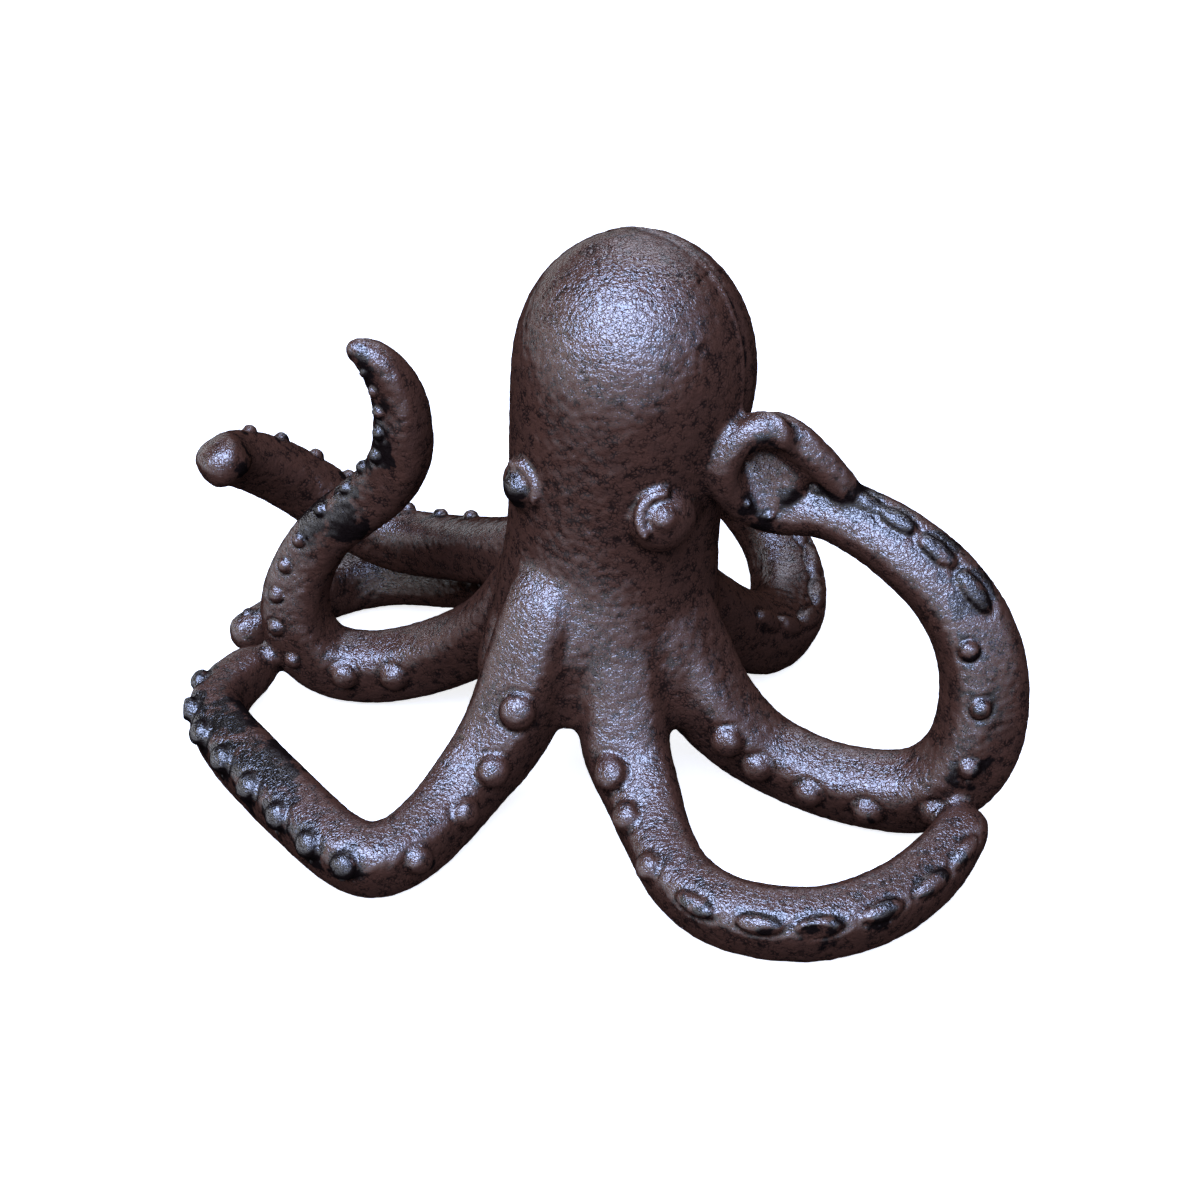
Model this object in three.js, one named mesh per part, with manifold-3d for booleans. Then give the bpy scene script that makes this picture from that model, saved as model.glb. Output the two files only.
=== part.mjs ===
// Small cast iron octopus that stands on its eight arms. Millimetres, +Z up, the octopus looks towards -Y and a
// little to -X. Arm routes are written in real sizes above the table plane z = 0, and the figure is centred at the end.

import * as THREE from 'three';
import { mergeVertices } from 'three/addons/utils/BufferGeometryUtils.js';
import Module from 'manifold-3d';

const wasm = await Module();
wasm.setup();

// Arms
const ARM_FULLNESS = 1.0; // multiplies the thickness of every arm
const ARM_FLATNESS = 0.88; // width of an arm's section over its height
const JOINT_GAP = 0.3; // clearance between two castings that meet
const SECTION_POINTS = 12; // corners of one arm section
const SECTION_SQUARENESS = 0.66; // exponent below 1 makes the section a rounded rectangle
const RINGS_PER_SPAN = 2; // rings between two neighbouring route stations
// Rounding of a tip: how far each ring lies beyond the last station and how wide it is, over the half height.
const TIP_RINGS = [{ reach: 0.45, width: 0.86 }, { reach: 0.78, width: 0.55 }];
const TIP_REACH = 0.92;

// Suckers: radius and height above the skin, over the arm's half height
const DOME = { radius: 0.38, height: 0.24 };
const BEAD = { radius: 0.26, height: 0.17 };
const SUCKER_SIDES = 6;
const SUCKER_BANDS = 4;

// Mantle and neck
const MANTLE_RADIUS = 19;
const MANTLE_CENTRE = [5.2, 8, 72]; // middle of the dome's base
const DOME_HEIGHT = 20.3;
const NECK_RADIUS = 16.8;
const NECK_CENTRE = [1.8, 6.8, 30]; // middle of the neck where the skirt starts
const NECK_TOP = 46; // height at which the neck starts to widen into the mantle
const SKIRT_DEPTH = 18.5; // hidden rounded bottom of the neck, below NECK_CENTRE
const BODY_SIDES = 24;
const DOME_BANDS = 6;
const NECK_BANDS = 8;

// Eyes
const EYE_RADIUS = 2.6;
const BROW_RADIUS = 5.2;
const EYE_REACH = 3.9; // from the brow's middle to the eyeball's
const EYE_SIDES = 14;
const EYE_BANDS = 8;

// Route stations: x, y, z of the arm's middle and its half height. `joint` is the station where the arm casting
// meets the body casting. `suckers` lists runs: first station, last station, count, angle at the first and at the
// last, in degrees from the section's upper side towards its outer side, and the form.
const ARMS = [
  {
    name: 'arm_front_left',
    joint: 4,
    route: [
      [-4, 2, 42, 4.4], [-8.6, -3, 36, 6.8], [-12.2, -6.5, 25, 7.2], [-16, -10.5, 15.8, 6.8],
      [-20.3, -15, 10, 6.2], [-25, -21, 7, 5.8], [-30.3, -27, 5.6, 5.6], [-34.8, -29, 5.2, 5.6],
      [-39.4, -26.6, 5.4, 5.6], [-45, -20.2, 5.6, 5.7], [-50.8, -12.4, 5.7, 5.8], [-56.4, -4.4, 5.7, 5.8],
      [-61, 3, 5.7, 5.6], [-63.3, 9, 6, 5.1], [-61.8, 15, 6.7, 4.5], [-58, 20, 7.6, 4],
    ],
    suckers: [[2.4, 6.0, 4, -25, -72, DOME], [7.4, 13.6, 8, -60, -45, DOME]],
  },
  {
    name: 'arm_front_right',
    joint: 5,
    route: [
      [2, 3, 42, 4.4], [2.6, -3.4, 36, 6.8], [3.6, -6, 27.5, 7.3], [4.6, -8, 19.5, 7.5],
      [5.1, -11.5, 13.6, 7.1], [6.4, -16.6, 10, 6.5], [8.8, -25, 7, 5.9], [12.2, -34, 5.5, 5.5],
      [18.2, -40.6, 5.1, 5.4], [25, -43, 4.9, 5.4], [32, -43.4, 4.9, 5.4], [39.4, -41.2, 5.2, 5.4],
      [46.3, -36.4, 5.5, 5.4], [51.6, -31, 6.6, 5.2], [55.6, -25.8, 8.6, 4.6],
    ],
    suckers: [[4.8, 6.8, 3, 32, 48, DOME], [7.8, 13.2, 6, 42, 34, BEAD]],
  },
  {
    name: 'arm_right_loop',
    joint: 5,
    curlFrom: 18,
    route: [
      [5, 4, 41, 4.4], [10, -1, 34.5, 6.6], [13.2, -3, 26.8, 7], [16.6, -5.4, 20, 6.9],
      [21, -7, 14.8, 6.5], [26, -8, 10.8, 6.1], [34, -11.2, 8.3, 5.9], [42, -14, 7.8, 6.1],
      [50.6, -16.5, 9.4, 6.6], [57, -17.6, 17, 6.7], [58.6, -16.2, 26, 6.5], [57.5, -14, 34.4, 6.3],
      [52.8, -11, 42.6, 5.9], [45.8, -8, 48.4, 5.5], [39.5, -5, 51.3, 5], [33.3, -3, 52.8, 4.5],
      [27, -2.4, 51.6, 3.5], [21.6, -3.6, 54, 2.8], [18.4, -5.4, 59.4, 2.5], [20.2, -5, 64.8, 2.6],
      [25.2, -4, 67.2, 3], [30.2, -4, 63.9, 3.1], [34, -4.6, 60.2, 2.8], [37, -5, 56.8, 2.6],
    ],
    suckers: [
      [3.9, 8.2, 5, 66, 88, DOME], [9.1, 11.2, 3, 74, 66, BEAD], [11.9, 15.6, 6, 98, 108, BEAD],
    ],
  },
  {
    name: 'arm_left_curl',
    joint: 5,
    route: [
      [-3, 8, 42, 4.4], [-8.7, 8.5, 36.4, 5.7], [-12.8, 10, 28, 5.9], [-16.8, 12.5, 21, 5.9],
      [-21, 15.5, 16, 5.8], [-25, 17.8, 12.5, 5.8], [-31, 20, 8.8, 5.8], [-39, 21.4, 6.6, 5.8],
      [-46.6, 22.4, 7.8, 5.9], [-50.6, 22.8, 13.7, 5.7], [-50.7, 23, 20.5, 5.3], [-48.4, 23, 27, 4.9],
      [-44.7, 22, 33.2, 4.7], [-39.6, 20, 38.6, 4.7], [-34.7, 18, 43.9, 4.8], [-31.6, 16, 50, 4.7],
      [-30.8, 15, 55.6, 4.5], [-31, 15, 60.6, 4.2], [-32.6, 15, 65.4, 3.7], [-35.3, 15, 69, 2.9],
      [-37.7, 15, 70.2, 1.9],
    ],
    suckers: [
      [6.3, 7.4, 2, -82, -74, DOME], [8.6, 11.7, 5, -92, -108, BEAD], [15.3, 18.8, 5, -115, -100, BEAD],
    ],
  },
  {
    name: 'arm_rear_left_raised',
    joint: 3,
    route: [
      [-3, 10, 40, 4.4], [-9.5, 15, 35, 5.3], [-15.4, 20.5, 30.2, 5.4], [-20.4, 27.4, 26.2, 5.3],
      [-27.4, 36, 21.6, 5.2], [-35.6, 42.5, 19.2, 5.3], [-43.4, 45, 22.2, 5.4], [-49.5, 45, 27.2, 5.4],
      [-55.4, 43, 32.6, 5.2], [-60.3, 39, 37, 4.8], [-62.6, 34.4, 39.8, 4.5], [-61.8, 30.5, 41, 4.1],
    ],
    suckers: [[3.2, 9.0, 8, 22, 50, BEAD]],
  },
  {
    name: 'arm_rear_left_low',
    joint: 3,
    route: [
      [-1, 13, 34, 4.4], [-5.6, 20, 26, 5.2], [-9.8, 27, 20, 5.4], [-14, 34, 15.6, 5.4],
      [-20.4, 42, 11.2, 5.4], [-28.6, 48.4, 7.8, 5.3], [-37.5, 52.2, 5.6, 5.3], [-45, 51, 4.8, 5.2],
      [-51.6, 45.2, 4.9, 4.8], [-56.6, 39, 4.6, 4.1], [-61.8, 35.2, 4.4, 3.3],
    ],
    suckers: [[4.4, 9.8, 7, 35, 0, BEAD]],
  },
  {
    name: 'arm_rear_right',
    joint: 4,
    flatness: 1.0,
    route: [
      [4, 10, 38, 4.4], [10, 12.5, 31, 5.6], [14.8, 15, 25, 6], [19.4, 19, 18.5, 6.2],
      [23.6, 24, 12.6, 6.3], [28, 29, 8.4, 6.3], [31.6, 35, 6.5, 6.3], [33, 42, 6.6, 6.2],
      [33, 48.4, 8.8, 5.8], [31, 53.4, 12.4, 5.3], [27, 56, 17, 4.8], [22.4, 56.6, 21.6, 4.4],
      [18.4, 55, 25.4, 3.8],
    ],
    suckers: [[3.6, 8.8, 6, 40, 5, BEAD]],
  },
  {
    name: 'arm_rear',
    joint: 3,
    route: [
      [2, 13, 36, 4.4], [3.5, 20, 27, 5.4], [5.5, 27, 19, 5.5], [6.5, 34, 12.8, 5.4],
      [6, 42, 8.6, 5.3], [2, 49.5, 6.3, 5.1], [-4.6, 54, 5.5, 4.8], [-11, 53.5, 5, 4.2],
      [-15, 48.6, 4.7, 3.6],
    ],
    suckers: [[3.5, 7.6, 6, 45, 42, DOME]],
  },
];

// Where two arms meet, the one later in this order is cut back to leave the joint gap.
const KEPT_WHOLE_FIRST = ['arm_left_curl', 'arm_right_loop'];

// Iron that fills the corners between neighbouring arms, from the neck down to the crotch. Stations as in an arm,
// with a round section.
const SKIRT_WEBS = [
  { name: 'front', route: [[0, 1, 42, 7], [-2.6, -3.2, 33, 7.4], [-4.6, -6, 26, 6.4], [-5.5, -8.2, 19, 3.8]] },
  { name: 'right', route: [[5, 1, 42, 7], [8.8, -2.6, 33, 7.6], [11.6, -5.2, 25, 6.8], [13.2, -6.6, 19.6, 5]] },
  { name: 'left', route: [[-2, 4, 40, 6], [-9, 3, 33, 6.4], [-13.5, 2.4, 25.5, 5.6], [-15.6, 1.6, 21, 4.4]] },
  { name: 'rear', route: [[2, 10, 38, 7], [4.5, 14.5, 30, 6.6], [8, 18, 23, 5.4]] },
];

// Thin iron skin that closes the back of the right arm's curl. It leans, so that its lower left edge lies forward.
const CURL_WEB = {
  arm: 'arm_right_loop', centre: [25.2, -2.8, 59.4], radius: 6.4, thickness: 2.6, lean: [-14, -16], sides: 16,
};

// Eyes: middle of the brow mound and the way the eye faces.
const EYES = [
  { brow: [9, -7.6, 54.2], facing: [0.1, -0.9, 0.44] },
  { brow: [-9.7, 0.5, 55.2], facing: [-0.65, -0.74, 0.18] },
];

// Block that is cut away below the figure
const TABLE_SIDE = 300;
const TABLE_DEPTH = 40;

// Weld bead that bridges the front left arm's end and the curled left arm.
const WELD_BEAD = { arm: 'arm_front_left', centre: [-55.6, 20.6, 9.6], radius: 2.3 };

const PAINTED_IRON = { color: 0x5d433b, roughness: 0.42, metalness: 0.15 };

// Triangles collected by rings, then closed into a solid.
class SolidMesh {
  constructor() {
    this.points = [];
    this.faces = [];
  }

  addPoint(point) {
    this.points.push(point.x, point.y, point.z);
    return this.points.length / 3 - 1;
  }

  addRing(points) {
    return points.map((point) => this.addPoint(point));
  }

  joinRings(lower, upper) {
    const count = lower.length;
    for (let i = 0; i < count; i += 1) {
      const next = (i + 1) % count;
      this.faces.push(lower[i], lower[next], upper[next]);
      this.faces.push(lower[i], upper[next], upper[i]);
    }
  }

  closeRing(ring, apex, facesForward) {
    const tip = this.addPoint(apex);
    const count = ring.length;
    for (let i = 0; i < count; i += 1) {
      const next = (i + 1) % count;
      if (facesForward) {
        this.faces.push(ring[i], ring[next], tip);
      } else {
        this.faces.push(ring[next], ring[i], tip);
      }
    }
  }

  toManifold() {
    const vertProperties = new Float32Array(this.points);
    const triVerts = new Uint32Array(this.faces);
    return new wasm.Manifold(new wasm.Mesh({ numProp: 3, vertProperties, triVerts }));
  }
}

function geometryToManifold(geometry) {
  const bare = geometry.clone();
  bare.deleteAttribute('normal');
  bare.deleteAttribute('uv');
  const welded = mergeVertices(bare, 1e-4);
  return new wasm.Manifold(new wasm.Mesh({
    numProp: 3,
    vertProperties: new Float32Array(welded.attributes.position.array),
    triVerts: new Uint32Array(welded.index.array),
  }));
}

function manifoldToGeometry(solid) {
  const mesh = solid.getMesh();
  const geometry = new THREE.BufferGeometry();
  geometry.setAttribute('position', new THREE.BufferAttribute(new Float32Array(mesh.vertProperties), 3));
  geometry.setIndex(new THREE.BufferAttribute(new Uint32Array(mesh.triVerts), 1));
  geometry.computeVertexNormals();
  return geometry;
}

function ball(centre, radius, sides = 10, bands = 6) {
  const geometry = new THREE.SphereGeometry(radius, sides, bands);
  geometry.rotateX(Math.PI / 2);
  geometry.translate(centre.x, centre.y, centre.z);
  return geometryToManifold(geometry);
}

function point(values) {
  return new THREE.Vector3(values[0], values[1], values[2]);
}

// One arm's route with a frame that does not twist: `up` starts upright at the body.
class ArmPath {
  constructor(arm) {
    this.arm = arm;
    this.last = arm.route.length - 1;
    this.curve = new THREE.CatmullRomCurve3(arm.route.map(point), false, 'centripetal');
    this.frames = [];
    const count = this.last * RINGS_PER_SPAN;
    let up = new THREE.Vector3(0, 0, 1);
    for (let i = 0; i <= count; i += 1) {
      const along = i / count;
      const middle = this.curve.getPoint(along);
      const forward = this.curve.getTangent(along);
      up = up.clone().addScaledVector(forward, -up.dot(forward)).normalize();
      const out = new THREE.Vector3().crossVectors(forward, up).normalize();
      this.frames.push({ middle, forward, up, out, half: this.halfHeight(i / RINGS_PER_SPAN) });
    }
  }

  halfHeight(station) {
    const first = Math.min(Math.floor(station), this.last - 1);
    const share = station - first;
    const route = this.arm.route;
    return (route[first][3] * (1 - share) + route[first + 1][3] * share) * ARM_FULLNESS;
  }

  frameAt(station) {
    const position = station * RINGS_PER_SPAN;
    const first = Math.min(Math.floor(position), this.frames.length - 2);
    const share = position - first;
    const a = this.frames[first];
    const b = this.frames[first + 1];
    return {
      middle: a.middle.clone().lerp(b.middle, share),
      forward: a.forward.clone().lerp(b.forward, share).normalize(),
      up: a.up.clone().lerp(b.up, share).normalize(),
      out: a.out.clone().lerp(b.out, share).normalize(),
      half: a.half * (1 - share) + b.half * share,
    };
  }

  // Point on the section's outline at an angle from `up` towards `out`.
  outlinePoint(frame, angle, shrink = 1, extra = 0) {
    const squareness = this.arm.squareness ?? SECTION_SQUARENESS;
    const squared = (value) => Math.sign(value) * Math.abs(value) ** squareness;
    const height = (frame.half * shrink + extra) * squared(Math.cos(angle));
    const flatness = this.arm.flatness ?? ARM_FLATNESS;
    const width = (frame.half * shrink * flatness + extra) * squared(Math.sin(angle));
    return frame.middle.clone().addScaledVector(frame.up, height).addScaledVector(frame.out, width);
  }

  ring(frame, shrink, extra) {
    const points = [];
    for (let i = 0; i < SECTION_POINTS; i += 1) {
      const angle = (i / SECTION_POINTS) * Math.PI * 2;
      points.push(this.outlinePoint(frame, angle, shrink, extra));
    }
    return points;
  }

  // Solid between two stations. `setback` moves its first face forward, `extra` grows it all round.
  sweep(fromStation, toStation, { setback = 0, extra = 0, roundTip = false } = {}) {
    const mesh = new SolidMesh();
    const first = Math.round(fromStation * RINGS_PER_SPAN);
    const end = Math.round(toStation * RINGS_PER_SPAN);
    let previous = null;
    for (let i = first; i <= end; i += 1) {
      const frame = { ...this.frames[i] };
      if (i === first) {
        frame.middle = frame.middle.clone().addScaledVector(frame.forward, setback);
      }
      const ring = mesh.addRing(this.ring(frame, 1, extra));
      if (previous === null) {
        mesh.closeRing(ring, frame.middle, false);
      } else {
        mesh.joinRings(previous, ring);
      }
      previous = ring;
    }
    const last = this.frames[end];
    let apex = last.middle;
    if (roundTip) {
      for (const { reach, width } of TIP_RINGS) {
        const middle = last.middle.clone().addScaledVector(last.forward, (last.half + extra) * reach);
        const ring = mesh.addRing(this.ring({ ...last, middle }, width, extra * width));
        mesh.joinRings(previous, ring);
        previous = ring;
      }
      apex = last.middle.clone().addScaledVector(last.forward, (last.half + extra) * TIP_REACH);
    }
    mesh.closeRing(previous, apex, true);
    return mesh.toManifold();
  }

  // Suckers of the body's stub (`onStub`) or of the arm casting.
  addSuckers(solid, onStub, extra = 0) {
    const joint = this.frameAt(this.arm.joint);
    let result = solid;
    for (const [from, to, count, angleFrom, angleTo, form] of this.arm.suckers) {
      for (let i = 0; i < count; i += 1) {
        const share = i / Math.max(count - 1, 1);
        const station = from + (to - from) * share;
        const angle = THREE.MathUtils.degToRad(angleFrom + (angleTo - angleFrom) * share);
        const frame = this.frameAt(station);
        const radius = frame.half * form.radius;
        const facing = frame.up.clone().multiplyScalar(Math.cos(angle)).addScaledVector(frame.out, Math.sin(angle));
        const seat = this.outlinePoint(frame, angle).addScaledVector(facing, frame.half * form.height - radius);
        const pastJoint = seat.clone().sub(joint.middle).dot(joint.forward);
        const nearJoint = seat.distanceTo(joint.middle) < joint.half * 2;
        const standsClear = !nearJoint || Math.abs(pastJoint) > radius + JOINT_GAP;
        if (standsClear && onStub === station < this.arm.joint) {
          result = result.add(ball(seat, radius + extra, SUCKER_SIDES, SUCKER_BANDS));
        }
      }
    }
    return result;
  }
}

// Mantle and neck: a rounded bottom that the skirt hides, the neck widening upwards, and the dome.
function mantle(extra = 0) {
  const mesh = new SolidMesh();
  const neck = point(NECK_CENTRE);
  const head = point(MANTLE_CENTRE);
  const neckReach = NECK_RADIUS + extra;
  const headReach = MANTLE_RADIUS + extra;
  const rings = [];
  for (let i = 1; i < DOME_BANDS; i += 1) {
    const turn = (i / DOME_BANDS) * Math.PI * 0.5;
    const middle = neck.clone().setZ(neck.z - (SKIRT_DEPTH + extra) * Math.cos(turn));
    rings.push({ middle, radius: neckReach * Math.sin(turn) });
  }
  for (let i = 0; i <= NECK_BANDS; i += 1) {
    const z = THREE.MathUtils.lerp(neck.z, head.z, i / NECK_BANDS);
    const widening = THREE.MathUtils.smoothstep(z, NECK_TOP, head.z);
    const middle = neck.clone().lerp(head, widening).setZ(z);
    rings.push({ middle, radius: THREE.MathUtils.lerp(neckReach, headReach, widening) });
  }
  for (let i = 1; i < DOME_BANDS; i += 1) {
    const turn = (i / DOME_BANDS) * Math.PI * 0.5;
    const middle = head.clone().setZ(head.z + (DOME_HEIGHT + extra) * Math.sin(turn));
    rings.push({ middle, radius: headReach * Math.cos(turn) });
  }
  let previous = null;
  for (const { middle, radius } of rings) {
    const points = [];
    for (let i = 0; i < BODY_SIDES; i += 1) {
      const turn = (i / BODY_SIDES) * Math.PI * 2;
      points.push(new THREE.Vector3(radius * Math.cos(turn), radius * Math.sin(turn), 0).add(middle));
    }
    const ring = mesh.addRing(points);
    if (previous === null) {
      mesh.closeRing(ring, neck.clone().setZ(neck.z - SKIRT_DEPTH - extra), false);
    } else {
      mesh.joinRings(previous, ring);
    }
    previous = ring;
  }
  mesh.closeRing(previous, head.clone().setZ(head.z + DOME_HEIGHT + extra), true);
  return mesh.toManifold();
}

// One web of the skirt, a round sweep with a round tip.
function skirtWeb({ route }, extra) {
  const path = new ArmPath({ route, joint: 0, suckers: [], flatness: 1, squareness: 1 });
  return path.sweep(0, path.last, { extra, roundTip: true });
}

const paths = new Map(ARMS.map((arm) => [arm.name, new ArmPath(arm)]));

// Mantle with the webs of the skirt and the stubs of the arms, without the stub named in `except`.
function bodyCore(extra, except = null) {
  let solid = mantle(extra);
  for (const web of SKIRT_WEBS) {
    solid = solid.add(skirtWeb(web, extra));
  }
  for (const [name, path] of paths) {
    if (name !== except) {
      solid = path.addSuckers(solid.add(path.sweep(0, path.arm.joint, { extra })), true, extra);
    }
  }
  return solid;
}

function bodySolid() {
  let solid = bodyCore(0);
  for (const { brow, facing } of EYES) {
    const mound = point(brow);
    const eyeball = mound.clone().addScaledVector(point(facing).normalize(), EYE_REACH);
    solid = solid.add(ball(mound, BROW_RADIUS, EYE_SIDES, EYE_BANDS));
    solid = solid.add(ball(eyeball, EYE_RADIUS, EYE_SIDES, EYE_BANDS));
  }
  return solid;
}

function armSolid(path, extra = 0) {
  const setback = extra > 0 ? 0 : JOINT_GAP;
  const curlFrom = path.arm.curlFrom ?? path.last;
  let swept = path.sweep(path.arm.joint, curlFrom, { setback, extra, roundTip: curlFrom === path.last });
  if (curlFrom < path.last) {
    // The curl comes round onto the arm itself, so it is a second sweep that starts inside the first one.
    swept = swept.add(path.sweep(curlFrom, path.last, { setback: -JOINT_GAP, extra, roundTip: true }));
  }
  let solid = path.addSuckers(swept, false, extra);
  if (path.arm.name === CURL_WEB.arm) {
    solid = solid.add(curlWeb());
  }
  if (path.arm.name === WELD_BEAD.arm) {
    solid = solid.add(ball(point(WELD_BEAD.centre), WELD_BEAD.radius));
  }
  return solid;
}

function curlWeb() {
  const { centre, radius, thickness, lean, sides } = CURL_WEB;
  const disc = new THREE.CylinderGeometry(radius, radius, thickness, sides);
  const [leanX, leanZ] = lean.map(THREE.MathUtils.degToRad);
  disc.rotateX(leanX);
  disc.rotateZ(leanZ);
  disc.translate(...centre);
  return geometryToManifold(disc);
}

// Everything below the table plane is cut away, which leaves the flats that the figure stands on.
function belowTable() {
  const slab = new THREE.BoxGeometry(TABLE_SIDE, TABLE_SIDE, TABLE_DEPTH);
  slab.translate(0, 0, -TABLE_DEPTH / 2);
  return geometryToManifold(slab);
}

function largestPiece(solid) {
  const pieces = solid.decompose();
  pieces.sort((a, b) => b.volume() - a.volume());
  return pieces[0];
}

function paintedMesh(name, solid) {
  const material = new THREE.MeshStandardMaterial(PAINTED_IRON);
  const mesh = new THREE.Mesh(manifoldToGeometry(solid), material);
  mesh.name = name;
  return mesh;
}

const table = belowTable();
const body = bodySolid().subtract(table);
const armOrder = [...KEPT_WHOLE_FIRST, ...[...paths.keys()].filter((name) => !KEPT_WHOLE_FIRST.includes(name))];
const arms = new Map();
for (const name of armOrder) {
  const path = paths.get(name);
  // The arm's own stub is left out: the flat joint face already stands off from it by the gap.
  let solid = armSolid(path).subtract(bodyCore(JOINT_GAP, name)).subtract(table);
  for (const neighbour of arms.keys()) {
    solid = solid.subtract(armSolid(paths.get(neighbour), JOINT_GAP));
  }
  arms.set(name, largestPiece(solid));
}

const figure = new THREE.Group();
figure.name = 'octopus';
figure.add(paintedMesh('body', body));
for (const name of paths.keys()) {
  figure.add(paintedMesh(name, arms.get(name)));
}

const bounds = new THREE.Box3().setFromObject(figure);
const centre = bounds.getCenter(new THREE.Vector3());
figure.children.forEach((mesh) => mesh.geometry.translate(-centre.x, -centre.y, -bounds.min.z));

export default figure;
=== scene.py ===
"""Cast iron octopus figurine: the skin of its nine castings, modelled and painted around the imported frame.

The routes, the mantle and the eyes are written in millimetres from the middle of the neck on the table, as
the castings are, and are moved to the middle of the figure when they are built. The arms are extruded along
their routes, suckers are set on them, and everything is fused into one skin, so that the fillets run on as
they do in sand-cast iron. The skin is then sawn at the joints into one closed piece for each casting.
"""

import logging
import math
from dataclasses import dataclass, field
from enum import Enum

import bpy
import numpy as np
from bpy.types import Material, Node, NodeSocket, NodeTree, Object
from mathutils import Matrix, Vector


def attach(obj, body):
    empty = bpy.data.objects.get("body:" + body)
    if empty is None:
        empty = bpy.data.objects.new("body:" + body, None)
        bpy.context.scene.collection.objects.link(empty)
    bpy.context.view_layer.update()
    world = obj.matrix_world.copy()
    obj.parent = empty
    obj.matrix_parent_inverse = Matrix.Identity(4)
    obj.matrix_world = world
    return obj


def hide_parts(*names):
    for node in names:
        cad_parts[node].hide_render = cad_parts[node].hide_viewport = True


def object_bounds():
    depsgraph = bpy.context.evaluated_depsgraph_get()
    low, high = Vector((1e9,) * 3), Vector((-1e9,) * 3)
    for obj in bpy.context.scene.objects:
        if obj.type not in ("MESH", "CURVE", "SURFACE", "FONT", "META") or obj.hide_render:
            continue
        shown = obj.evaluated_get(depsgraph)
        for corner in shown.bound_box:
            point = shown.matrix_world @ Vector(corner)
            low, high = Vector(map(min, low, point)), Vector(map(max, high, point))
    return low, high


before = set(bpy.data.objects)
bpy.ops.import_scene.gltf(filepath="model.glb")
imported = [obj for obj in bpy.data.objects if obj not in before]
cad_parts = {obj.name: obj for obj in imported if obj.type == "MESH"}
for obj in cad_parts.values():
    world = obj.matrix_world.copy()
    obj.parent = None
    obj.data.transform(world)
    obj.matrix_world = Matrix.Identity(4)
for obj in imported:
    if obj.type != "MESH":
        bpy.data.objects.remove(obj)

LOG = logging.getLogger("octopus")
CAD_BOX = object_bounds()

Place = tuple[float, float, float]
Station = tuple[float, float, float, float]  # a section's middle and its half height
Colour = tuple[float, float, float, float]  # linear red, green, blue and alpha

MM = 0.001  # one millimetre in Blender's metres
FIGURE_MIDDLE = Vector((-1.309, 6.561, 0.0))  # middle of the figure, from the middle of the neck
RINGS_PER_SPAN = 3  # extrusions between two route stations
SAMPLES_PER_SPAN = 6  # points between two route stations, to tell which arm a face belongs to
SKIN_ALLOWANCE = 0.12  # mm of iron that smoothing takes off again, added all round an arm
FIRST_VOXEL = 0.6  # mm, for arms, head and webs, which are then smoothed into fillets
SKIN_VOXEL = 0.42  # mm, for the whole figure with suckers and eyes
FILLET_PASSES = 22
SOFTENING_PASSES = 3
BOX_CORNER = 0.62  # rounding of a box section's corners over its half height
SQUARENESS = 0.66  # exponent that makes a section's outline fuller than an ellipse

# The ring pressed round each sucker: its radius and width over the sucker's radius, and its depth.
GROOVE_RING = 1.22
GROOVE_WIDTH = 0.2
GROOVE_DEPTH = 0.22  # mm

# Grain that the sand mould leaves: name, texture, distance between grains and strength in millimetres.
SAND = (
    ("uneven sand", "CLOUDS", 4.0, 0.16),
    ("sand grain", "VORONOI", 1.5, -0.1),
    ("fine sand", "CLOUDS", 0.95, 0.16),
)

LIT_FROM = (-0.2, -0.6, 0.77)  # direction of the light: faces turned away from it get painted shade and lose their gloss
LIT_BETWEEN = (0.6, 0.95)  # cosines to that direction between full painted shade, matt, and none, glossy
SUCKER_RUB = (0.3, 1.2)  # half heights from a sucker's middle between bare and whole lacquer
SPOT_EDGE = (0.5, 1.1)  # shares of a worn spot's radius between bare and whole lacquer
CRISP_ANGLE = math.radians(70)  # edges sharper than this stay crisp
NEAR_JOINT = 1.0  # stations to either side of a joint in which the saw's plane counts
OWN_SKIN = 1.8  # half heights from an arm's middle within which the skin can be its own

# Places painted down to the black primer, for worn lacquer and, in the right arm's curl, for painted shade:
# x, y, z, radius and how much, from 0 to 1.
WORN_AND_SHADED_SPOTS = (
    (-41.5, 14, 38, 6.5, 1.0),
    (-12.6, -3, 56, 3.8, 1.0),
    # The next two are painted shade in the pocket of the right arm's curl.
    (24, -6.5, 65, 4.0, 0.5),
    (25, -6, 51.5, 3.5, 0.7),
    (-45, 21, 36, 6.0, 1.0),
    (-52, -12, 9, 9.0, 0.9),
    (-60, 1, 9, 8.0, 0.9),
    (-37.5, 13, 70, 3.0, 0.9),
    (-58, 31, 41, 4.5, 0.7),
)


def place(x: float, y: float, z: float) -> Vector:
    """Return a place given from the middle of the neck, in millimetres, as metres in the frame."""
    return (Vector((x, y, z)) - FIGURE_MIDDLE) * MM


def smooth_step(value: np.ndarray, low: float, high: float) -> np.ndarray:
    """Return 0 below `low`, 1 above `high` and a soft ramp between them."""
    share = np.clip((value - low) / (high - low), 0.0, 1.0)
    return share * share * (3.0 - 2.0 * share)


def linear(hex_colour: str) -> Colour:
    """Turn an sRGB hex colour into linear light.

    Args:
        hex_colour: Six hex digits, with or without a hash in front.

    Returns:
        Red, green, blue and a full alpha, as Blender's shader sockets take them.
    """
    digits = hex_colour.lstrip("#")
    values = [int(digits[i:i + 2], 16) / 255.0 for i in (0, 2, 4)]
    red, green, blue = [v / 12.92 if v <= 0.04045 else ((v + 0.055) / 1.055) ** 2.4 for v in values]
    return red, green, blue, 1.0


class SuckerForm(Enum):
    """Shapes of the cast suckers: radius, height and length along the arm, over the arm's half height."""

    DOME = (0.38, 0.24, 0.38)
    BEAD = (0.24, 0.17, 0.24)
    PAD = (0.26, 0.16, 0.62)


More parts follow.
